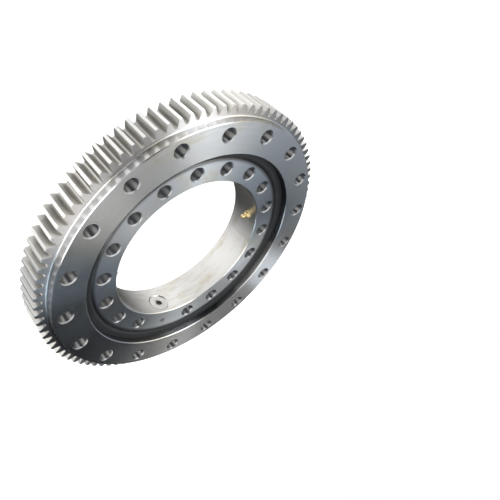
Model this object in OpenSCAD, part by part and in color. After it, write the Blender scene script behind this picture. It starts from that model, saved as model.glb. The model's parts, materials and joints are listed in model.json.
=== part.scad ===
// Single-row four-point-contact ball slewing ring with an external spur gear.
// Z is the bearing axis and Z = 0 is the rear face of the inner ring.
// The front faces look up: the outer ring's stands one ring_step above the inner ring's.
// All sizes are in millimetres and all angles in degrees.

/* [Rings] */
// Height of each ring along the axis
ring_h = 45; // [45:1:50]
// How far the outer ring stands in front of the inner ring
ring_step = 10; // [8:1:11]
// Diameter of the inner ring's bore
bore_d = 200; // [190:1:202]
// Diameter of the plain land in front of the teeth
land_d = 357; // [354:1:360]
// Radius of the fillet at the foot of the land
land_fillet_r = 2; // [1:0.5:2.5]
// Bevel on the rings' turned edges
edge_chamfer = 0.8; // [0.4:0.1:1.2]

/* [Bolt holes] */
// Diameter of the outer ring's bolt circle
outer_bolt_circle_d = 328; // [326:1:330]
// Diameter of the inner ring's bolt circle
inner_bolt_circle_d = 232; // [230:1:233]
// Diameter of each plain bolt hole
bolt_hole_d = 16; // [12:0.5:16.5]
// Hole places on each circle, one of which the inner ring gives to the taper pin
hole_count = 18; // [16:2:18]
// Bevel on the mouths of the bolt holes
hole_chamfer = 1.2; // [0.5:0.1:1.4]

/* [Gear] */
// Module of the teeth
tooth_module = 4; // [4:0.05:4.1]
// Number of teeth
tooth_count = 94; // [94:1:96]
// Pressure angle of the involute flanks
pressure_angle = 20; // [18:0.5:22]
// Tooth thinning at the pitch circle, for backlash
tooth_thinning = 0.2; // [0:0.05:0.4]
// Bevel on the tips of the teeth at both ends
tooth_end_chamfer = 1; // [0.5:0.1:1.5]
// Angle of the first tooth from the X axis
first_tooth_angle = 2.2; // [0:0.1:3.8]

/* [Ball row] */
// Diameter of the balls
ball_d = 20; // [19:0.5:20]
// Diameter of the circle that the ball centres run on
ball_circle_d = 280; // [279.5:0.1:280.5]
// Number of balls
ball_count = 38; // [32:1:38]
// Radius of the raceway groove over the ball's diameter
groove_ratio = 0.525; // [0.52:0.005:0.53]
// Angle of the four contacts from the ball row's plane
contact_angle = 45; // [40:1:50]
// Play between ball and groove at each contact
ball_play = 0.08; // [0.04:0.01:0.12]
// Radial gap between the two rings' walls
wall_gap = 0.8; // [0.6:0.1:1.2]
// Outside diameter of the nylon spacers
spacer_d = 15; // [12:0.5:16]
// Length of a spacer along the ball row
spacer_l = 8; // [6:0.5:9]
// Play between a spacer's socket and its ball
socket_play = 0.25; // [0.1:0.05:0.4]
// Grease hole through a spacer's web
spacer_hole_d = 4; // [2:0.5:5]

/* [Seals] */
// Radial width of the shoulder that each seal covers
seal_shoulder_w = 10.2; // [9.6:0.1:10.6]
// Depth of the shoulder below the ring's face
seal_shoulder_depth = 4; // [3.5:0.1:4.2]
// Bevel on the shoulder's edge
shoulder_chamfer = 0.8; // [0.4:0.1:1.4]
// Depth of the groove that holds the seal's bead
bead_groove_depth = 3; // [2:0.1:3.5]
// Height of the groove that holds the seal's bead
bead_groove_h = 3; // [2.8:0.1:3.2]
// How far the seal's flat face stands above the shouldered ring's face
seal_stand = 2; // [1:0.1:2.4]
// Play between a seal and the metal around it
seal_play = 0.2; // [0.1:0.05:0.3]

/* [Filling plug and taper pin] */
// Diameter of the radial hole that the balls were filled through
plug_d = 24.5; // [22:0.5:24.5]
// How far the plug's face sits below the bore's wall
plug_recess = 0.3; // [0.1:0.1:1]
// Play round the plug and the pin
plug_play = 0.05; // [0.03:0.01:0.1]
// Bevel on the mouth of the plug's hole
plug_chamfer = 1; // [0.5:0.1:1.2]
// Core diameter of the plug's extraction thread
extraction_hole_d = 8.5; // [6.8:0.1:10.2]
// Depth of the extraction thread
extraction_hole_depth = 13; // [10:0.5:13]
// Diameter of the taper pin's hole at the front face
pin_hole_d = 7; // [6:0.1:8]
// Taper of the pin, as length over change of diameter
pin_taper = 50; // [48:1:52]
// How far the pin sits below the front face
pin_sink = 3; // [2:0.5:5]
// Length of the taper pin
pin_l = 38; // [34:1:39]

/* [Grease nipples] */
// Hole pitches from the taper pin to the first nipple
nipple_pitches = 5.5; // [4.5:1:6.5]
// Thread diameter of a nipple
nipple_thread_d = 8; // [6:0.5:8]
// Length of a nipple's thread
nipple_thread_l = 7; // [6:0.5:8]
// Width of a nipple's hexagon across its flats
nipple_hex_w = 9; // [9:0.5:10]
// Height of a nipple's hexagon
nipple_hex_h = 3.4; // [3:0.1:4]
// Diameter of a nipple's head
nipple_head_d = 6.5; // [6.4:0.1:6.8]
// Length of a nipple above its seat
nipple_l = 10.5; // [10.5:0.1:11.5]
// Diameter of a nipple's check ball
check_ball_d = 2.5; // [2.4:0.1:2.6]
// Turns of a nipple's spring
spring_turns = 6; // [4:1:7]

/* [Hidden] */
$fn = 96;
eps = 0.01;
cut = 1;

overall_h = ring_h + ring_step;
gear_z0 = ring_step;
gear_z1 = ring_h;
ball_z = overall_h / 2;
bore_r = bore_d / 2;
land_r = land_d / 2;
ball_r = ball_d / 2;
row_r = ball_circle_d / 2;
hole_pitch = 360 / hole_count;
ball_pitch = 360 / ball_count;

// Wall of each ring on its side of the gap
inner_wall_r = row_r - wall_gap / 2;
outer_wall_r = row_r + wall_gap / 2;
groove_r = ball_d * groove_ratio;
groove_shift = groove_r - ball_r - ball_play;

// Shoulder, bead groove and seal, drawn for the front seal and turned over for the rear one
shoulder_r = row_r - seal_shoulder_w;
shoulder_z = ring_h - seal_shoulder_depth;
bead_rise = 1.5;
bead_z = shoulder_z + bead_rise;
seal_top_z = ring_h + seal_stand;
seal_floor_z = shoulder_z + 0.6;
seal_lip_w = 3.6;
seal_lip_t = 1.2;
seal_bevel = 0.4;

// Places of the pin and the nipples round the inner ring
pin_angle = 270;
inner_bolt_r = inner_bolt_circle_d / 2;
outer_bolt_r = outer_bolt_circle_d / 2;
nipple_angles = [for (side = [0, 180]) pin_angle + nipple_pitches * hole_pitch + side];

// Nipple sizes, measured along its own axis from the seat towards the bearing's axis
seat_depth = 0.5;
seat_d = 12.4;
nipple_chamber_d = 3;
nipple_chamber_z0 = 1;
nipple_chamber_z1 = nipple_l - 0.9;
nipple_mouth_d = 1.8;
nipple_passage_d = 1.6;
nipple_collar_d = nipple_head_d + 1.2;
nipple_collar_h = 0.3;
nipple_neck_d = 4.8;
nipple_neck_z0 = nipple_hex_h + 1.2;
nipple_neck_z1 = nipple_l - 4.7;
nipple_head_z0 = nipple_l - 3.7;
nipple_head_z1 = nipple_l - 2.4;
nipple_tip_d = 3.8;
grease_channel_d = 4;
valve_gap = 0.03;
check_ball_z = nipple_chamber_z1 - sqrt(pow(check_ball_d, 2) - pow(nipple_mouth_d, 2)) / 2 - valve_gap;
spring_wire_d = 0.4;
spring_d = 2.3;
spring_joint_ratio = 1.04;
spring_z0 = nipple_chamber_z0 + spring_wire_d / 2 + valve_gap;
spring_z1 = check_ball_z - sqrt(pow(check_ball_d + spring_wire_d + 2 * valve_gap, 2) - pow(spring_d, 2)) / 2;

// Gear sizes
pitch_r = tooth_module * tooth_count / 2;
tip_r = pitch_r + tooth_module;
dedendum = 1.25;
root_r = pitch_r - dedendum * tooth_module;
base_r = pitch_r * cos(pressure_angle);
root_blend = 0.2;
flank_start_r = root_r + root_blend * tooth_module;
flank_steps = 4;
root_flat = 0.45;

function degrees(arc, r) = arc / r * 180 / PI;
function involute(a) = tan(a) * 180 / PI - a;
function half_tooth(r) =
    90 / tooth_count - degrees(tooth_thinning / 2, pitch_r)
    + involute(pressure_angle) - involute(acos(base_r / r));
function polar(r, a) = [r * cos(a), r * sin(a)];
function flank_r(i) = flank_start_r + (tip_r - flank_start_r) * i / flank_steps;
function root_angle() = 180 / tooth_count * root_flat + half_tooth(root_r) * (1 - root_flat);

// One tooth: root, rising flank, falling flank, root
function tooth_points(middle) = concat(
    [polar(root_r, middle - root_angle())],
    [for (i = [0:flank_steps]) polar(flank_r(i), middle - half_tooth(flank_r(i)))],
    [for (i = [flank_steps:-1:0]) polar(flank_r(i), middle + half_tooth(flank_r(i)))],
    [polar(root_r, middle + root_angle())]
);
gear_outline = [
    for (k = [0:tooth_count - 1]) each tooth_points(first_tooth_angle + k * 360 / tooth_count)
];

// A point of the front seal's side of the section, turned half round the ball row's centre
function turned(p) = [ball_circle_d - p[0], overall_h - p[1]];
function side_points(points, rear) = rear ? [for (p = points) turned(p)] : points;

function ball_name(i) = str("ball_", i < 10 ? "0" : "", i);

steel = "silver";
ball_steel = "gainsboro";
rubber = "darkslategray";
nylon = "ivory";
brass = "goldenrod";

// Two arcs that meet in a point at the groove's bottom, so that each ball has four contacts.
// side is 1 for the outer ring's groove and -1 for the inner ring's.
module raceway_section(side) {
    translate([row_r, ball_z]) intersection_for (tilt = [1, -1])
        translate([-side * groove_shift * cos(contact_angle), -tilt * groove_shift * sin(contact_angle)])
            circle(groove_r);
}

// Shoulder under a seal's lip, as the space to be cut away
module shoulder_section(rear) {
    far_r = row_r + cut;
    top_z = ring_h + cut;
    polygon(side_points([
        [shoulder_r, shoulder_z], [far_r, shoulder_z], [far_r, top_z],
        [shoulder_r - shoulder_chamfer - cut, top_z], [shoulder_r, ring_h - shoulder_chamfer]
    ], rear));
}

// Groove that holds a seal's bead, as the space to be cut away
module bead_groove_section(rear) {
    near_r = outer_wall_r - cut;
    far_r = outer_wall_r + bead_groove_depth;
    polygon(side_points([
        [near_r, bead_z], [far_r, bead_z], [far_r, bead_z + bead_groove_h], [near_r, bead_z + bead_groove_h]
    ], rear));
}

// Turned section of the inner ring before any drilling
module inner_section() {
    difference() {
        polygon([
            [bore_r + edge_chamfer, 0], [inner_wall_r - edge_chamfer, 0], [inner_wall_r, edge_chamfer],
            [inner_wall_r, ring_h], [bore_r + edge_chamfer, ring_h], [bore_r, ring_h - edge_chamfer],
            [bore_r, edge_chamfer]
        ]);
        raceway_section(-1);
        shoulder_section(false);
        bead_groove_section(true);
    }
}

// Everything inside the outer ring's inner surface, as the space to be cut away
module outer_space_section() {
    top_z = overall_h;
    translate([row_r / 2, 0]) square([outer_wall_r - row_r / 2, top_z + cut]);
    polygon([
        [row_r, top_z + cut], [outer_wall_r + edge_chamfer + cut, top_z + cut],
        [outer_wall_r, top_z - edge_chamfer], [row_r, top_z - edge_chamfer]
    ]);
    raceway_section(1);
    shoulder_section(true);
    bead_groove_section(false);
}

// Turned section of the outer ring's land, with a fillet where it meets the gear's end face
module land_section() {
    difference() {
        polygon([
            [row_r, gear_z0], [land_r, gear_z0], [land_r + land_fillet_r, gear_z1],
            [land_r + land_fillet_r, gear_z1 + land_fillet_r], [land_r, gear_z1 + land_fillet_r],
            [land_r, overall_h - edge_chamfer], [land_r - edge_chamfer, overall_h], [row_r, overall_h]
        ]);
        translate([land_r + land_fillet_r, gear_z1 + land_fillet_r]) circle(land_fillet_r);
    }
}

// Gear blank with bevelled tips, which the tooth prism is trimmed to
module blank_section() {
    bevel = tooth_end_chamfer;
    polygon([
        [row_r, gear_z0], [tip_r - bevel, gear_z0], [tip_r + cut, gear_z0 + bevel + cut],
        [tip_r + cut, gear_z1 - bevel - cut], [tip_r - bevel, gear_z1], [row_r, gear_z1]
    ]);
}

// One plain through hole with bevelled mouths, from z0 to z1
module bolt_hole(z0, z1) {
    hole_r = bolt_hole_d / 2;
    translate([0, 0, z0 - cut]) cylinder(h = z1 - z0 + 2 * cut, r = hole_r);
    translate([0, 0, z0 - cut]) cylinder(h = hole_chamfer + cut, r1 = hole_r + hole_chamfer + cut, r2 = hole_r);
    translate([0, 0, z1 - hole_chamfer])
        cylinder(h = hole_chamfer + cut, r1 = hole_r, r2 = hole_r + hole_chamfer + cut);
}

// Sets its children on a radius of the bearing, with their Z axis pointing away from the bearing's axis
module on_radius(angle, r) {
    rotate([0, 0, angle]) translate([r, 0, ball_z]) rotate([0, 90, 0]) children();
}

module pin_place() {
    rotate([0, 0, pin_angle]) translate([inner_bolt_r, 0, 0]) children();
}

// Tapered hole or pin from z0 to z1, widest in front
module pin_cone(z0, z1, play) {
    translate([0, 0, z0]) cylinder(
        h = z1 - z0,
        r1 = pin_hole_d / 2 - (ring_h - z0) / pin_taper / 2 - play,
        r2 = pin_hole_d / 2 - (ring_h - z1) / pin_taper / 2 - play
    );
}

// Tapped hole, flat seat and grease channel of one nipple
module nipple_hole(angle) {
    on_radius(angle, bore_r - cut) cylinder(h = seat_depth + cut, d = seat_d);
    on_radius(angle, bore_r - cut) cylinder(h = seat_depth + nipple_thread_l + 2 * cut, d = nipple_thread_d);
    on_radius(angle, bore_r) cylinder(h = inner_wall_r - bore_r, d = grease_channel_d);
}

module inner_ring() {
    color(steel) difference() {
        rotate_extrude() inner_section();
        for (k = [1:hole_count - 1])
            rotate([0, 0, pin_angle + k * hole_pitch]) translate([inner_bolt_r, 0, 0]) bolt_hole(0, ring_h);
        pin_place() pin_cone(-cut, ring_h + cut, 0);
        on_radius(pin_angle, bore_r - cut) cylinder(h = row_r - bore_r + cut, d = plug_d);
        on_radius(pin_angle, bore_r - plug_chamfer)
            cylinder(h = 2 * plug_chamfer, d1 = plug_d + 4 * plug_chamfer, d2 = plug_d);
        for (angle = nipple_angles) nipple_hole(angle);
    }
}

module outer_gear_ring() {
    color(steel) difference() {
        union() {
            rotate_extrude() land_section();
            intersection() {
                translate([0, 0, gear_z0]) linear_extrude(gear_z1 - gear_z0) polygon(gear_outline);
                rotate_extrude() blank_section();
            }
        }
        rotate_extrude() outer_space_section();
        for (k = [0:hole_count - 1])
            rotate([0, 0, k * hole_pitch]) translate([outer_bolt_r, 0, 0]) bolt_hole(gear_z0, overall_h);
    }
}

// Rubber ring: a bead in one ring's groove, a flat face across the gap and a lip on the other ring's shoulder
module seal(rear) {
    body_r = outer_wall_r - seal_play;
    heel_r = shoulder_r + seal_lip_w;
    lip_r = shoulder_r + seal_play;
    lip_z = ring_h - shoulder_chamfer - seal_bevel;
    lip_back_z = lip_z + seal_lip_t;
    bead_r = outer_wall_r + bead_groove_depth - seal_play;
    bead_z0 = bead_z + seal_play;
    bead_z1 = bead_z + bead_groove_h - seal_play;
    color(rubber) rotate_extrude() polygon(side_points([
        [body_r, seal_top_z], [heel_r - seal_bevel, seal_top_z],
        [lip_r + seal_lip_t, seal_top_z - 2 * seal_bevel], [lip_r + seal_bevel, ring_h - seal_bevel],
        [lip_r, lip_z], [lip_r + seal_bevel, seal_floor_z + seal_bevel],
        [lip_r + seal_lip_t, seal_floor_z + seal_bevel], [heel_r - seal_lip_t, lip_back_z],
        [heel_r, lip_back_z], [heel_r, seal_floor_z], [body_r, seal_floor_z], [body_r, bead_z0],
        [bead_r, bead_z0], [bead_r, bead_z1], [body_r, bead_z1]
    ], rear));
}

module front_seal() {
    seal(false);
}

module rear_seal() {
    seal(true);
}

module ball(i) {
    color(ball_steel) rotate([0, 0, (i - 1) * ball_pitch]) translate([row_r, 0, ball_z]) sphere(ball_r);
}

// One nylon spacer between two balls, with a socket at each end and a grease hole
module spacer(angle) {
    rotate([0, 0, angle]) difference() {
        translate([row_r * cos(ball_pitch / 2), 0, ball_z]) rotate([90, 0, 0])
            cylinder(h = spacer_l, d = spacer_d, center = true);
        translate([row_r * cos(ball_pitch / 2), 0, ball_z]) rotate([90, 0, 0])
            cylinder(h = spacer_l + cut, d = spacer_hole_d, center = true);
        for (side = [-0.5, 0.5]) rotate([0, 0, side * ball_pitch]) translate([row_r, 0, ball_z])
            sphere(ball_r + socket_play);
    }
}

module ball_spacers() {
    color(nylon) for (i = [0:ball_count - 1]) spacer((i + 0.5) * ball_pitch);
}

module filling_plug() {
    color(steel) difference() {
        intersection() {
            rotate_extrude() inner_section();
            on_radius(pin_angle, bore_r + plug_recess) cylinder(h = row_r - bore_r, d = plug_d - 2 * plug_play);
        }
        on_radius(pin_angle, bore_r - cut) cylinder(h = extraction_hole_depth + cut, d = extraction_hole_d);
        pin_place() pin_cone(0, ring_h, 0);
    }
}

module taper_pin() {
    top_z = ring_h - pin_sink;
    color(steel) pin_place() pin_cone(top_z - pin_l, top_z, plug_play);
}

// Sets its children on a nipple's seat, with their Z axis pointing to the bearing's axis
module nipple_place(i) {
    rotate([0, 0, nipple_angles[i - 1]]) translate([bore_r + seat_depth - eps, 0, ball_z]) rotate([0, -90, 0])
        children();
}

module nipple_body(i) {
    collar_r = nipple_collar_d / 2;
    neck_r = nipple_neck_d / 2;
    head_r = nipple_head_d / 2;
    color(brass) nipple_place(i) difference() {
        union() {
            translate([0, 0, -nipple_thread_l])
                cylinder(h = nipple_thread_l + eps, d = nipple_thread_d - 2 * plug_play);
            cylinder(h = nipple_hex_h, d = nipple_hex_w / cos(30), $fn = 6);
            rotate_extrude() polygon([
                [0, nipple_hex_h / 2], [collar_r, nipple_hex_h / 2],
                [collar_r, nipple_hex_h + nipple_collar_h], [neck_r, nipple_neck_z0],
                [neck_r, nipple_neck_z1], [head_r, nipple_head_z0], [head_r, nipple_head_z1],
                [nipple_tip_d / 2, nipple_l], [0, nipple_l]
            ]);
        }
        translate([0, 0, nipple_chamber_z0])
            cylinder(h = nipple_chamber_z1 - nipple_chamber_z0, d = nipple_chamber_d);
        translate([0, 0, -nipple_thread_l - cut]) cylinder(h = nipple_thread_l + 2 * cut + eps, d = nipple_passage_d);
        translate([0, 0, nipple_chamber_z1 - eps]) cylinder(h = nipple_l, d = nipple_mouth_d);
    }
}

module nipple_check_ball(i) {
    color(ball_steel) nipple_place(i) translate([0, 0, check_ball_z]) sphere(d = check_ball_d);
}

// Helical spring as tilted half turns, with a small sphere over each joint
module nipple_spring(i) {
    rise = (spring_z1 - spring_z0) / (2 * spring_turns);
    tilt = atan(rise / spring_d);
    color(steel) nipple_place(i) for (k = [0:2 * spring_turns - 1])
        translate([0, 0, spring_z0 + (k + 0.5) * rise]) rotate([0, 0, 180 * k]) rotate([0, tilt, 0]) {
            rotate_extrude(angle = 180) translate([spring_d / 2 / cos(tilt), 0]) circle(d = spring_wire_d, $fn = 24);
            translate([spring_d / 2 / cos(tilt), 0, 0]) sphere(d = spring_wire_d * spring_joint_ratio, $fn = 24);
        }
}

inner_ring();
outer_gear_ring();
front_seal();
rear_seal();
ball_spacers();
filling_plug();
taper_pin();
nipple_body(1);  // nipple_1_body
nipple_check_ball(1);  // nipple_1_check_ball
nipple_spring(1);  // nipple_1_spring
nipple_body(2);  // nipple_2_body
nipple_check_ball(2);  // nipple_2_check_ball
nipple_spring(2);  // nipple_2_spring
for (i = [1:ball_count]) ball(i);
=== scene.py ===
"""Looks of a slewing ring bearing: turned and hobbed steel, rubber seals, brass nipples, on a pale floor.

Everything is in metres in the CAD model's frame: Z is the bearing's axis, and the front faces look up.
"""

import json
import math
from collections import namedtuple

import bpy
from mathutils import Matrix, Vector


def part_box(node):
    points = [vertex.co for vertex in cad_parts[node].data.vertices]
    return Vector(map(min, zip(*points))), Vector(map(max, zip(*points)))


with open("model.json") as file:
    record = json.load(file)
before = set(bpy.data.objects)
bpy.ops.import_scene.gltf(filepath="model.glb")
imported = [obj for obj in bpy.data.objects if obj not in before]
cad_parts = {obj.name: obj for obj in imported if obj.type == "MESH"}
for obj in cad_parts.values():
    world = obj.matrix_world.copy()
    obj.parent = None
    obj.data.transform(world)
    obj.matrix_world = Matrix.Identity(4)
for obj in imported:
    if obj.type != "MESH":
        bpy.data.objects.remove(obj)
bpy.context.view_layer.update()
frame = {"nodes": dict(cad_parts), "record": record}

# ---- Sizes that the finishes follow ----

MM = 0.001

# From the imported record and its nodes
mounts = {mount["name"]: mount for mount in frame["record"]["mounts"]}
outer_holes = mounts["outer_bolts"]["dims"]
inner_holes = mounts["inner_bolts_20"]["dims"]
OUTER_CIRCLE = outer_holes["pcd_mm"] / 2 * MM
INNER_CIRCLE = math.hypot(inner_holes["spacing_x_mm"], inner_holes["spacing_y_mm"]) / 2 * MM
HOLE_RADIUS = outer_holes["hole_r_mm"] * MM
HOLE_PITCH = math.tau / outer_holes["count"]
ROW_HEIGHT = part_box("outer_gear_ring")[1].z / 2
TIP_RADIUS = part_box("outer_gear_ring")[1].x
GEAR_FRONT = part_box("inner_ring")[1].z

# As in part.scad
OUTER_FIRST_HOLE = 0.0
INNER_FIRST_HOLE = math.radians(270)
LAND_RADIUS = 178.5 * MM
ROOT_RADIUS = 183 * MM
BORE_RADIUS = 100 * MM
SEAL_WALL_RADIUS = 140.4 * MM

# Just outside a hole's bevelled mouth
HOLE_MOUTH_RADIUS = HOLE_RADIUS * 1.2
# Painted shade on the inner ring's faces next to the seal begins at the first radius, and is full at the
# second
SEAL_SHADE_START_RADIUS = 124.2 * MM
SHOULDER_EDGE_RADIUS = 129.1 * MM

# ---- Finishes: base colours are linear, roughness and anisotropy are the shader's own ----

GEAR_RING_STEEL = (0.59, 0.59, 0.595)
INNER_RING_STEEL = (0.60, 0.625, 0.66)
STEEL_OILED = (0.54, 0.51, 0.42)
# Painted shade by the seal: the seal's shadow and dark reflection, put into the steel's colour
SEAL_PAINTED_SHADE = (0.16, 0.16, 0.165)
BORE_STEEL = (0.55, 0.545, 0.53)
BORE_STAIN = (0.46, 0.43, 0.365)
TOOTH_STEEL = (0.56, 0.55, 0.53)
TOOTH_END_STEEL = (0.50, 0.49, 0.50)
# Painted highlight: tooth tips made brighter than the steel, for the light they catch
TOOTH_TIP_PAINTED_HIGHLIGHT = (0.88, 0.87, 0.85)
TOOTH_DIRT = (0.27, 0.255, 0.23)
# Painted shade for the walls and bevelled mouths of the bolt holes
HOLE_PAINTED_SHADE = (0.22, 0.22, 0.23)
PIN_STEEL = (0.36, 0.36, 0.37)
WIRE_STEEL = (0.42, 0.42, 0.44)
BALL_STEEL = (0.70, 0.70, 0.71)
BRASS = (0.78, 0.64, 0.36)
BRASS_DULL = (0.50, 0.41, 0.23)
RUBBER = (0.014, 0.015, 0.017)
RUBBER_DUST = (0.036, 0.037, 0.040)
NYLON = (0.80, 0.76, 0.64)
NYLON_DARK = (0.66, 0.60, 0.47)

GEAR_RING_ROUGHNESS = 0.255
GEAR_RING_ANISOTROPY = 1.0
INNER_RING_ROUGHNESS = 0.325
INNER_RING_ANISOTROPY = 0.89
BORE_ROUGHNESS = 0.27
HOLE_ROUGHNESS = 0.42
TOOTH_END_ROUGHNESS = 0.52
TOOTH_ROUGHNESS = (0.32, 0.42)

# What the grooves, clouds and speckle of a turned ring do to its brightness and roughness
GROOVE_SHADE = (0.94, 1.10)
CLOUD_SHADE = (0.90, 1.10)
SPECKLE_SHADE = (0.95, 1.05)
GROOVE_ROUGHNESS = 0.015
CLOUD_ROUGHNESS = 0.02

# How much of each stain, and of the holes' painted shade, covers the steel where it is at its strongest
OIL_SHARE = 0.7
HOLE_SHADE_SHARE = 0.85
DIRT_SHARE = 0.45

# Noise scales, in features per metre
FINE_GROOVES = 4200
BROAD_GROOVES = 420
SPECKLE = 420
CLOUDS = 16
OIL_PATCHES = 22
BORE_STAINS = 26

# Depth of each finish's relief
GROOVE_DEPTH = 0.003 * MM
PLUG_GROOVE_DEPTH = 0.006 * MM
PIN_LINE_DEPTH = 0.004 * MM
WIRE_LINE_DEPTH = 0.003 * MM
LAPPING_DEPTH = 0.0005 * MM
RUBBER_DEPTH = 0.012 * MM
NYLON_DEPTH = 0.008 * MM
BRASS_LINE_DEPTH = 0.006 * MM

# ---- Studio: soft boxes as directions round the object, in degrees ----

SoftBox = namedtuple(
    "SoftBox", "azimuth half_width side_softness elevation half_height top_softness strength colour"
)
SOFT_BOXES = {
    "lamps": SoftBox(45, 32, 4, 51, 24, 18, 2.8, (1.0, 0.945, 0.80)),
    "window": SoftBox(75, 16, 3, 32, 20, 18, 5.2, (0.88, 0.95, 1.0)),
    "side": SoftBox(181, 31, 3, 37, 18, 5, 5.8, (1.0, 0.985, 0.94)),
    "top": SoftBox(20, 44, 18, 70, 23, 15, 1.6, (0.96, 0.98, 1.0)),
    "back_top": SoftBox(311, 17, 16, 60, 8, 4, 2.7, (1.0, 1.0, 0.98)),
    "back": SoftBox(253, 13, 2, 45, 14, 2, 2.9, (0.72, 0.87, 1.0)),
    "strip": SoftBox(355, 20, 2, 29, 27, 8, 0.7, (0.80, 0.90, 1.0)),
    "front": SoftBox(140, 15, 8, 38, 12, 8, 1.6, (1.0, 0.99, 0.97)),
    "tube": SoftBox(326, 2.7, 0.7, 19, 8, 6, 2.8, (0.80, 0.90, 1.0)),
}
ROOM_LIGHT = 0.012
BACKDROP_LIGHT = 1.0
# Heights of a unit direction between which the room gives way to the floor
HORIZON = (0.02, -0.06)

# The floor as the steel sees it: bright on the window side, and dark on the other
WINDOW_AZIMUTH = 120
WINDOW_HALF_WIDTH = 98
WINDOW_SOFTNESS = 45
FLOOR_BRIGHT = 1.6
FLOOR_DARK = 0.09

# The floor as the camera sees it
FLOOR_REACH = 4.0
FLOOR_DROP = 0.2 * MM
FLOOR_GREY = 0.55
FLOOR_GLOW = 0.80
FLOOR_ROUGHNESS = 0.9

# ---- Camera: where it looks and how it is turned, at the photograph's viewing angle ----

AIM = Vector((37.4, 20.5, 55)) * MM
VIEW_AZIMUTH = 144.3
VIEW_ELEVATION = 31.56
VIEW_DISTANCE = 0.625
VIEW_ROLL = 135.5
SENSOR = 36
LENS = 36.85
SHIFT = (0.05, -0.02)


class Nodes:
    """A node tree, with short calls that add one node and give back its output."""

    def __init__(self, tree):
        self.tree = tree

    def feed(self, socket, value):
        """Links an output to the socket, or sets the socket to a number, a colour or a vector."""
        if isinstance(value, bpy.types.NodeSocket):
            self.tree.links.new(value, socket)
        elif isinstance(value, tuple) and socket.type == "RGBA":
            socket.default_value = (*value, 1.0)
        else:
            socket.default_value = value

    def node(self, kind, **settings):
        made = self.tree.nodes.new("ShaderNode" + kind)
        for name, value in settings.items():
            setattr(made, name, value)
        return made

    def math(self, operation, a, b=0.0, c=0.0):
        made = self.node("Math", operation=operation)
        for socket, value in zip(made.inputs, (a, b, c)):
            self.feed(socket, value)
        return made.outputs[0]

    def vector_math(self, operation, a, b=(0.0, 0.0, 0.0)):
        made = self.node("VectorMath", operation=operation)
        self.feed(made.inputs[0], a)
        self.feed(made.inputs[1], b)
        return made.outputs[0]

    def scaled(self, vector, factor):
        made = self.node("VectorMath", operation="SCALE")
        self.feed(made.inputs[0], vector)
        self.feed(made.inputs["Scale"], factor)
        return made.outputs[0]

    def vector(self, x, y, z):
        made = self.node("CombineXYZ")
        for socket, value in zip(made.inputs, (x, y, z)):
            self.feed(socket, value)
        return made.outputs[0]

    def parts(self, vector):
        made = self.node("SeparateXYZ")
        self.feed(made.inputs[0], vector)
        return made.outputs[0], made.outputs[1], made.outputs[2]

    def ramp(self, value, low, high, at_low=0.0, at_high=1.0):
        """Smooth step from at_low to at_high as value goes from low to high."""
        made = self.node("MapRange", interpolation_type="SMOOTHSTEP")
        for socket, number in zip(made.inputs, (value, low, high, at_low, at_high)):
            self.feed(socket, number)
        return made.outputs[0]

    def noise(self, scale, detail=2.0, roughness=0.5, along=None, vector=None):
        """Noise from 0 to 1: along one length, or in space at the vector given."""
        made = self.node("TexNoise", noise_dimensions="1D" if vector is None else "3D")
        if vector is None:
            self.feed(made.inputs["W"], along)
        else:
            self.feed(made.inputs["Vector"], vector)
        made.inputs["Scale"].default_value = scale
        made.inputs["Detail"].default_value = detail
        made.inputs["Roughness"].default_value = roughness
        return made.outputs[0]

    def mix(self, share, a, b):
        """Colours a and b mixed by share."""
        made = self.node("Mix", data_type="RGBA")
        self.feed(made.inputs[0], share)
        self.feed(made.inputs[6], a)
        self.feed(made.inputs[7], b)
        return made.outputs[2]

    def between(self, share, a, b):
        """Numbers a and b mixed by share."""
        made = self.node("Mix", data_type="FLOAT")
        for socket, value in zip((made.inputs[0], made.inputs[2], made.inputs[3]), (share, a, b)):
            self.feed(socket, value)
        return made.outputs[0]

    def between_vectors(self, share, a, b):
        """Vectors a and b mixed by share."""
        made = self.node("Mix", data_type="VECTOR")
        for socket, value in zip((made.inputs[0], made.inputs[4], made.inputs[5]), (share, a, b)):
            self.feed(socket, value)
        return made.outputs[1]

    def hypotenuse(self, a, b):
        return self.math("SQRT", self.math("ADD", self.math("MULTIPLY", a, a), self.math("MULTIPLY", b, b)))


class Surface(Nodes):
    """A material with one Principled shader."""

    def __init__(self, name, **plain):
        self.material = bpy.data.materials.new(name)
        self.material.use_nodes = True
        super().__init__(self.material.node_tree)
        self.shader = self.tree.nodes["Principled BSDF"]
        self.set(**plain)

    def set(self, **values):
        """Sets or links the shader's sockets, named in lower case with _ for a space."""
        for name, value in values.items():
            self.feed(self.shader.inputs[name.replace("_", " ").title().replace("Ior", "IOR")], value)

    def own_position(self):
        return self.node("TexCoord").outputs["Object"]

    def steepness(self):
        """How far the surface's normal lies along the bearing's axis, from 0 on a wall to 1 on a face."""
        return self.math("ABSOLUTE", self.parts(self.node("NewGeometry").outputs["Normal"])[2])

    def flatness(self):
        """1 on a face that looks along the bearing's axis, and 0 on a wall that stands along it."""
        return self.ramp(self.steepness(), 0.6, 0.8)

    def distance_from_axis(self, position):
        x, y, _ = self.parts(position)
        return self.hypotenuse(x, y)

    def across_the_turning(self, flat):
        """Direction across the lathe's grooves: away from the axis on a face, and along it on a wall."""
        place = self.node("NewGeometry").outputs["Position"]
        outward = self.vector_math("NORMALIZE", self.vector_math("MULTIPLY", place, (1, 1, 0)))
        return self.between_vectors(flat, (0.0, 0.0, 1.0), outward)

    def bump(self, height, depth):
        """Normal for a height from 0 to 1 that stands for depth, in metres."""
        made = self.node("Bump")
        made.inputs["Strength"].default_value = 1.0
        made.inputs["Distance"].default_value = depth
        self.feed(made.inputs["Height"], height)
        return made.outputs[0]


# ---- Steel of the two rings ----


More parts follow.
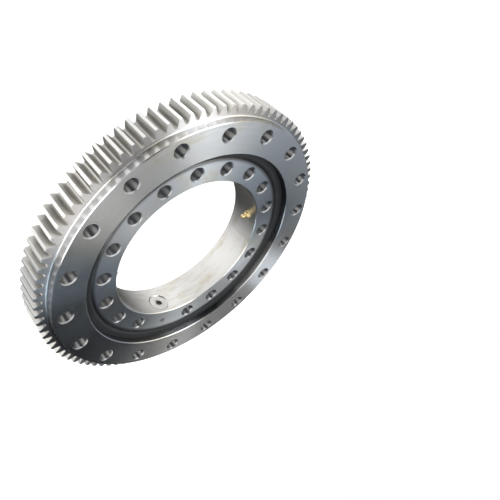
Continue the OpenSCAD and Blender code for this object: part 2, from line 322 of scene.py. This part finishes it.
class RingSteel(Surface):
    """Steel turned on a lathe, with drilled holes. Each ring's own function adds what is its own."""

    def __init__(self, name, steel, roughness, anisotropy):
        super().__init__(name, metallic=1.0, anisotropic=anisotropy)
        self.position = self.own_position()
        self.radius = self.distance_from_axis(self.position)
        self.height = self.parts(self.position)[2]
        self.flat = self.flatness()
        self.upright = self.math("SUBTRACT", 1.0, self.flat)
        self.cloud = self.noise(CLOUDS, 3, 0.55, vector=self.position)
        self.speckle = self.noise(SPECKLE, 3, 0.6, vector=self.position)
        across = self.between(self.flat, self.height, self.radius)
        self.relief = self.noise(FINE_GROOVES, 1, along=across)
        grooves = self.noise(BROAD_GROOVES, 3, 0.6, along=across)

        shade = self.between(self.math("MULTIPLY", grooves, 0.6), *GROOVE_SHADE)
        shade = self.math("MULTIPLY", shade, self.between(self.cloud, *CLOUD_SHADE))
        self.shade = self.math("MULTIPLY", shade, self.between(self.speckle, *SPECKLE_SHADE))
        elsewhere = self.vector_math("ADD", self.position, (3.1, 1.7, 0.4))
        oil = self.ramp(self.noise(OIL_PATCHES, 4, 0.6, vector=elsewhere), 0.52, 0.72)
        self.colour = self.mix(self.math("MULTIPLY", oil, OIL_SHARE), steel, STEEL_OILED)
        roughness = self.between(grooves, roughness - GROOVE_ROUGHNESS, roughness + GROOVE_ROUGHNESS)
        clouded = self.between(self.cloud, -CLOUD_ROUGHNESS, CLOUD_ROUGHNESS)
        self.roughness = self.math("ADD", roughness, clouded)

    def drill(self, circle, first):
        """Darkens the walls and mouths of the evenly spaced holes on a bolt circle with painted shade, and
        makes them rougher.
        """
        x, y, _ = self.parts(self.position)
        turn = self.math("SUBTRACT", self.math("ARCTAN2", y, x), first)
        whole_pitches = self.math("ROUND", self.math("DIVIDE", turn, HOLE_PITCH))
        turn = self.math("SUBTRACT", turn, self.math("MULTIPLY", whole_pitches, HOLE_PITCH))
        along = self.math("SUBTRACT", self.math("MULTIPLY", self.radius, self.math("COSINE", turn)), circle)
        aside = self.math("MULTIPLY", self.radius, self.math("SINE", turn))
        from_hole = self.hypotenuse(along, aside)
        near_hole = self.ramp(from_hole, HOLE_MOUTH_RADIUS + 0.4 * MM, HOLE_MOUTH_RADIUS)
        # Painted shade on the hole walls and bevelled mouths
        drilled = self.math("MULTIPLY", near_hole, self.ramp(self.steepness(), 0.95, 0.85))
        self.colour = self.mix(self.math("MULTIPLY", drilled, HOLE_SHADE_SHARE), self.colour, HOLE_PAINTED_SHADE)
        self.roughness = self.between(drilled, self.roughness, HOLE_ROUGHNESS)

    def finished(self):
        """Feeds the shader, and gives back the material."""
        self.set(base_color=self.scaled(self.colour, self.shade), roughness=self.roughness)
        self.set(tangent=self.across_the_turning(self.flat), normal=self.bump(self.relief, GROOVE_DEPTH))
        return self.material


def inner_ring_steel():
    """Turned steel, smoother and stained in the bore, and darkened towards the front seal by painted shade.
    """
    s = RingSteel("inner_ring_steel", INNER_RING_STEEL, INNER_RING_ROUGHNESS, INNER_RING_ANISOTROPY)
    s.drill(INNER_CIRCLE, INNER_FIRST_HOLE)
    by_bore = s.ramp(s.radius, BORE_RADIUS + 1.5 * MM, BORE_RADIUS + 0.5 * MM)
    in_bore = s.math("MULTIPLY", by_bore, s.upright)
    lengthwise = s.vector_math("MULTIPLY", s.position, (1, 1, 2.5))
    stain = s.ramp(s.noise(BORE_STAINS, 6, 0.65, vector=lengthwise), 0.46, 0.72)
    s.colour = s.mix(in_bore, s.colour, s.mix(stain, BORE_STEEL, BORE_STAIN))
    s.roughness = s.between(in_bore, s.roughness, BORE_ROUGHNESS)
    # Painted shade on the faces next to the front seal, where the outer ring's wall shades the inner ring
    painted_seal_shade = s.ramp(s.radius, SEAL_SHADE_START_RADIUS, SHOULDER_EDGE_RADIUS)
    s.colour = s.mix(painted_seal_shade, s.colour, SEAL_PAINTED_SHADE)
    return s.finished()


def gear_ring_steel():
    """Turned steel with painted shade on the wall by the seal, and rougher cut teeth with dirt in their
    roots and a painted highlight on their tips.
    """
    s = RingSteel("gear_ring_steel", GEAR_RING_STEEL, GEAR_RING_ROUGHNESS, GEAR_RING_ANISOTROPY)
    s.drill(OUTER_CIRCLE, OUTER_FIRST_HOLE)
    # Painted shade on the walls inside the seal wall's radius, standing in for their dark reflection of the
    # seal
    painted_seal_shade = s.ramp(s.radius, SEAL_WALL_RADIUS + 0.6 * MM, SEAL_WALL_RADIUS + 0.3 * MM)
    s.colour = s.mix(s.math("MULTIPLY", painted_seal_shade, s.upright), s.colour, SEAL_PAINTED_SHADE)

    beyond_land = s.ramp(s.radius, LAND_RADIUS + 1.5 * MM, LAND_RADIUS + 2.5 * MM)
    below_land = s.ramp(s.height, GEAR_FRONT + 0.6 * MM, GEAR_FRONT + 0.1 * MM)
    toothed = s.math("MULTIPLY", beyond_land, below_land)
    in_root = s.ramp(s.radius, TIP_RADIUS - 3 * MM, ROOT_RADIUS)
    dirt = s.math("MULTIPLY", in_root, s.between(s.cloud, 0.3, 1.0))
    cut_steel = s.mix(s.math("MULTIPLY", dirt, DIRT_SHARE), TOOTH_STEEL, TOOTH_DIRT)
    # Painted highlight on the tooth tips, where they catch the light
    painted_tip_highlight = s.ramp(s.radius, TIP_RADIUS - 0.5 * MM, TIP_RADIUS - 0.2 * MM)
    cut_steel = s.mix(painted_tip_highlight, cut_steel, TOOTH_TIP_PAINTED_HIGHLIGHT)
    cut_steel = s.mix(s.flat, cut_steel, TOOTH_END_STEEL)
    cut_roughness = s.between(s.flat, s.between(s.speckle, *TOOTH_ROUGHNESS), TOOTH_END_ROUGHNESS)
    s.colour = s.mix(toothed, s.colour, cut_steel)
    s.roughness = s.between(toothed, s.roughness, cut_roughness)
    s.relief = s.between(toothed, s.relief, s.speckle)
    return s.finished()


# ---- Other steel pieces ----


def plug_steel():
    """Turned in place with the bore, with handling marks round the extraction hole."""
    s = Surface("plug_steel", metallic=1.0, anisotropic=INNER_RING_ANISOTROPY)
    position = s.own_position()
    x, _, z = s.parts(position)
    from_middle = s.hypotenuse(x, s.math("SUBTRACT", z, ROW_HEIGHT))
    turning = s.noise(900, 2, along=z)
    smear = s.noise(140, 4, 0.6, vector=position)
    handled = s.math("MULTIPLY", s.ramp(from_middle, 9 * MM, 5 * MM), s.ramp(smear, 0.35, 0.6))
    colour = s.mix(s.math("MULTIPLY", handled, 0.5), BORE_STEEL, TOOTH_DIRT)
    s.set(base_color=s.mix(s.math("MULTIPLY", turning, 0.25), colour, BORE_STAIN))
    s.set(roughness=s.between(smear, 0.26, 0.36), tangent=s.across_the_turning(s.flatness()))
    s.set(normal=s.bump(turning, PLUG_GROOVE_DEPTH))
    return s.material


def ground_steel(name, colour, roughness, line_scale, depth):
    """Ground or drawn steel: fine lines along the bearing's axis, and a light mottle."""
    s = Surface(name, metallic=1.0)
    position = s.own_position()
    lines = s.noise(line_scale, 3, 0.6, along=s.parts(position)[2])
    mottle = s.noise(300, 3, vector=position)
    s.set(base_color=s.mix(s.math("MULTIPLY", mottle, 0.5), colour, tuple(0.75 * c for c in colour)))
    s.set(roughness=s.between(mottle, roughness * 0.85, roughness * 1.15))
    s.set(normal=s.bump(lines, depth))
    return s.material


def polished_ball():
    """Lapped bearing ball: near mirror, with a faint lapping haze."""
    s = Surface("polished_ball", metallic=1.0)
    haze = s.noise(900, 4, 0.65, vector=s.own_position())
    s.set(base_color=s.mix(haze, BALL_STEEL, tuple(0.93 * c for c in BALL_STEEL)))
    s.set(roughness=s.between(haze, 0.06, 0.11))
    s.set(normal=s.bump(haze, LAPPING_DEPTH))
    return s.material


# ---- Seals, spacers and nipples ----


def seal_rubber():
    """Moulded nitrile rubber: matt, with fine rings from its mould and a little dust."""
    s = Surface("seal_rubber", metallic=0.0, specular_ior_level=0.25)
    position = s.own_position()
    rings = s.noise(1600, 2, along=s.distance_from_axis(position))
    grain = s.noise(900, 3, 0.6, vector=position)
    dust = s.ramp(s.noise(30, 4, 0.65, vector=position), 0.45, 0.8)
    s.set(base_color=s.mix(s.math("MULTIPLY", dust, 0.5), RUBBER, RUBBER_DUST))
    s.set(roughness=s.between(grain, 0.42, 0.60))
    s.set(normal=s.bump(s.math("ADD", rings, grain), RUBBER_DEPTH))
    return s.material


def moulded_nylon():
    """Moulded nylon: cream, with a darker swirl and a fine grain."""
    s = Surface("moulded_nylon", metallic=0.0, subsurface_weight=0.15, subsurface_scale=0.002)
    position = s.own_position()
    swirl = s.noise(60, 4, 0.6, vector=position)
    grain = s.noise(1200, 3, 0.6, vector=position)
    s.set(base_color=s.mix(s.math("MULTIPLY", swirl, 0.6), NYLON, NYLON_DARK))
    s.set(roughness=s.between(grain, 0.38, 0.55))
    s.set(normal=s.bump(grain, NYLON_DEPTH))
    return s.material


def turned_brass():
    """Bright brass with fine turning lines and patches of dull tarnish."""
    s = Surface("turned_brass", metallic=1.0)
    position = s.own_position()
    lines = s.noise(2600, 2, along=s.distance_from_axis(position))
    tarnish = s.noise(420, 4, 0.6, vector=position)
    s.set(base_color=s.mix(s.ramp(tarnish, 0.4, 0.75), BRASS, BRASS_DULL))
    s.set(roughness=s.between(tarnish, 0.20, 0.36))
    s.set(normal=s.bump(lines, BRASS_LINE_DEPTH))
    return s.material


# ---- Every CAD node gets its finish ----

ball = polished_ball()
brass = turned_brass()
spring = ground_steel("spring_wire", WIRE_STEEL, 0.30, 5000, WIRE_LINE_DEPTH)
finishes = {
    "inner_ring": inner_ring_steel(),
    "outer_gear_ring": gear_ring_steel(),
    "front_seal": seal_rubber(),
    "ball_spacers": moulded_nylon(),
    "filling_plug": plug_steel(),
    "taper_pin": ground_steel("pin_steel", PIN_STEEL, 0.32, 3000, PIN_LINE_DEPTH),
}
finishes["rear_seal"] = finishes["front_seal"]
for name, node in frame["nodes"].items():
    if name.startswith("ball_") and name != "ball_spacers" or name.endswith("check_ball"):
        finishes[name] = ball
    elif name.startswith("nipple_"):
        finishes[name] = spring if name.endswith("_spring") else brass
    node.data.materials.clear()
    node.data.materials.append(finishes[name])


# ---- Studio ----


class Sky(Nodes):
    """The light that reaches the object, by direction."""

    def __init__(self, tree):
        super().__init__(tree)
        self.x, self.y, self.z = self.parts(self.node("TexCoord").outputs["Generated"])
        self.elevation = self.math("DEGREES", self.math("ARCSINE", self.z))

    def turn_from(self, azimuth):
        """Degrees between the direction's azimuth and the one given."""
        c, s = math.cos(math.radians(azimuth)), math.sin(math.radians(azimuth))
        ahead = self.math("ADD", self.math("MULTIPLY", self.x, c), self.math("MULTIPLY", self.y, s))
        aside = self.math("SUBTRACT", self.math("MULTIPLY", self.y, c), self.math("MULTIPLY", self.x, s))
        return self.math("ABSOLUTE", self.math("DEGREES", self.math("ARCTAN2", aside, ahead)))

    def within(self, distance, half_width, softness):
        return self.ramp(distance, half_width + softness, half_width - softness)

    def grey(self, level):
        return self.vector(level, level, level)

    def box_light(self, box):
        """What one soft box adds."""
        across = self.within(self.turn_from(box.azimuth), box.half_width, box.side_softness)
        off_middle = self.math("ABSOLUTE", self.math("SUBTRACT", self.elevation, box.elevation))
        upward = self.within(off_middle, box.half_height, box.top_softness)
        level = self.math("MULTIPLY", self.math("MULTIPLY", across, upward), box.strength)
        return self.vector_math("MULTIPLY", self.grey(level), box.colour)

    def floor_light(self):
        window = self.within(self.turn_from(WINDOW_AZIMUTH), WINDOW_HALF_WIDTH, WINDOW_SOFTNESS)
        return self.grey(self.between(window, FLOOR_DARK, FLOOR_BRIGHT))

    def background(self, colour):
        made = self.node("Background")
        self.feed(made.inputs["Color"], colour)
        return made.outputs[0]


def lit_world():
    """White to the camera. The object sees a dim room with soft boxes, over a floor lit from one side."""
    world = bpy.data.worlds.new("studio")
    world.use_nodes = True
    world.node_tree.nodes.clear()
    sky = Sky(world.node_tree)
    room = sky.grey(ROOM_LIGHT)
    for box in SOFT_BOXES.values():
        room = sky.vector_math("ADD", room, sky.box_light(box))
    downward = sky.ramp(sky.z, *HORIZON)

    choice = sky.node("MixShader")
    sky.feed(choice.inputs[0], sky.node("LightPath").outputs["Is Camera Ray"])
    sky.feed(choice.inputs[1], sky.background(sky.mix(downward, room, sky.floor_light())))
    sky.feed(choice.inputs[2], sky.background((BACKDROP_LIGHT, BACKDROP_LIGHT, BACKDROP_LIGHT)))
    sky.feed(sky.node("OutputWorld").inputs["Surface"], choice.outputs[0])
    bpy.context.scene.world = world


def light_table():
    """A pale floor under the bearing, lit from within so that shadows stay faint, and clear from below."""
    corners = [(-FLOOR_REACH, -FLOOR_REACH), (FLOOR_REACH, -FLOOR_REACH)]
    corners += [(FLOOR_REACH, FLOOR_REACH), (-FLOOR_REACH, FLOOR_REACH)]
    mesh = bpy.data.meshes.new("floor")
    mesh.from_pydata([(x, y, -FLOOR_DROP) for x, y in corners], [], [(0, 1, 2, 3)])
    floor = bpy.data.objects.new("floor", mesh)
    bpy.context.scene.collection.objects.link(floor)
    s = Surface("floor", roughness=FLOOR_ROUGHNESS, base_color=(FLOOR_GREY, FLOOR_GREY, FLOOR_GREY))
    s.set(emission_color=(1.0, 1.0, 1.0), emission_strength=FLOOR_GLOW)
    one_sided = s.node("MixShader")
    s.feed(one_sided.inputs[0], s.node("NewGeometry").outputs["Backfacing"])
    s.feed(one_sided.inputs[1], s.shader.outputs[0])
    s.feed(one_sided.inputs[2], s.node("BsdfTransparent").outputs[0])
    s.feed(s.tree.nodes["Material Output"].inputs["Surface"], one_sided.outputs[0])
    mesh.materials.append(s.material)
    floor.visible_glossy = False


def photograph_camera():
    """A camera that looks at AIM from the photograph's direction, with the photograph's tilt."""
    data = bpy.data.cameras.new("camera")
    data.sensor_width = SENSOR
    data.lens = LENS
    data.shift_x, data.shift_y = SHIFT
    camera = bpy.data.objects.new("camera", data)
    bpy.context.scene.collection.objects.link(camera)
    azimuth, elevation = math.radians(VIEW_AZIMUTH), math.radians(VIEW_ELEVATION)
    level = math.cos(elevation)
    back = Vector((math.cos(azimuth) * level, math.sin(azimuth) * level, math.sin(elevation)))
    upright = back.to_track_quat("Z", "Y").to_matrix()
    rolled = upright @ Matrix.Rotation(math.radians(VIEW_ROLL), 3, "Z")
    camera.matrix_world = Matrix.Translation(AIM + back * VIEW_DISTANCE) @ rolled.to_4x4()
    bpy.context.scene.camera = camera


lit_world()
light_table()
photograph_camera()
bpy.context.scene.view_settings.view_transform = "Standard"
